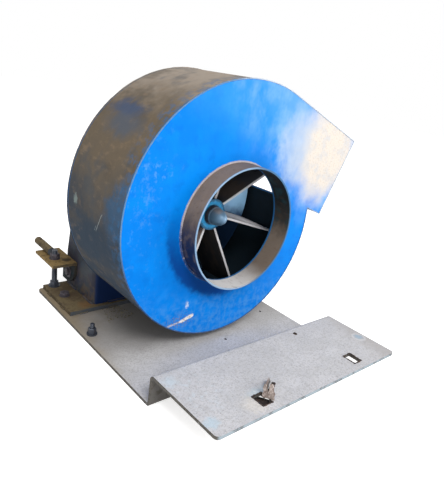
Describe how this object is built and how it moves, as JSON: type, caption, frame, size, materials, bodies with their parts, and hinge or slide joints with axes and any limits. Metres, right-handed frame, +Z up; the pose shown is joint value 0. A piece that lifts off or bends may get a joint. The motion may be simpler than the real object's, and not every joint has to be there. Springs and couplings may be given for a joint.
{
  "type": "industrial centrifugal blower",
  "caption": "Radial-bladed centrifugal blower: sheet-metal scroll casing with inlet collar, bearing pedestal with bare drive shaft, and a Z-bent base with a tension bracket.",
  "frame": {"origin": "on the floor plane, at the base plate's underside, below the shaft and in the plane of the casing's front face", "axes": "+X to the right seen from the inlet, +Y along the shaft from the inlet to the drive end, +Z up"},
  "size_m": [0.3871, 0.4776, 0.3486],
  "materials": {
    "casing_paint": "weathered azure enamel",
    "weathered_casing_paint": "blue enamel under brown dust",
    "pedestal_paint": "dark blue enamel, dusty",
    "impeller_paint": "dusty blue-grey enamel",
    "cap_paint": "light blue enamel",
    "galvanised_steel": "dull galvanised, stained",
    "rusty_steel": "old paint and rust",
    "cast_iron": "dark paint over a cast surface",
    "machined_steel": "turned",
    "seal_steel": "dusty paint",
    "felt": "oiled felt",
    "fastener_steel": "dull, slightly rusty",
    "brass": "dull"
  },
  "bodies": {
    "frame": {"front_plate": "casing_paint", "outlet_floor": "casing_paint", "scroll_wrap": "weathered_casing_paint", "back_plate": "weathered_casing_paint", "mounting_plate": "weathered_casing_paint", "inlet_collar": "weathered_casing_paint", "pedestal_shell": "pedestal_paint", "pedestal_top": "pedestal_paint", "base_plate": "galvanised_steel", "raised_plate": "galvanised_steel", "foot_plate": "rusty_steel", "front_housing": "cast_iron", "rear_housing": "cast_iron", "front_outer_ring": "machined_steel", "rear_outer_ring": "machined_steel", "seal_plate": "seal_steel", "shaft_seal": "felt", "seal_screws": "fastener_steel", "casing_bolts": "fastener_steel", "mounting_bolts": "fastener_steel", "foot_bolts": "fastener_steel", "base_studs": "fastener_steel", "base_stud_nuts": "fastener_steel", "bearing_bolts": "fastener_steel", "bearing_nuts": "fastener_steel", "jack_stud": "fastener_steel", "stud_foot_nut": "fastener_steel", "grease_nipples": "brass"},
    "rotor": {"shaft": "machined_steel", "hub": "impeller_paint", "hub_key": "machined_steel", "back_disc": "impeller_paint", "blade_1": "impeller_paint", "blade_2": "impeller_paint", "blade_3": "impeller_paint", "blade_4": "impeller_paint", "blade_5": "impeller_paint", "blade_6": "impeller_paint", "blade_7": "impeller_paint", "blade_8": "impeller_paint", "cap_washer": "fastener_steel", "nose_cap": "cap_paint", "drive_key": "machined_steel", "front_inner_ring": "machined_steel", "rear_inner_ring": "machined_steel", "bearing_balls": "machined_steel", "set_screws": "fastener_steel"},
    "bracket": {"tension_bracket": "rusty_steel", "pivot_rod": "rusty_steel", "guide_bolt": "fastener_steel", "jack_nuts": "fastener_steel"}
  },
  "joints": [
    {"name": "rotor_spin", "type": "hinge", "parent": "frame", "child": "rotor", "pos_m": [0, 0.1, 0.17], "axis": [0, 1, 0], "continuous": true},
    {"name": "bracket_jack", "type": "slide", "parent": "frame", "child": "bracket", "axis": [0, 0, 1], "range_m": [-0.004, 0.004]}
  ]
}
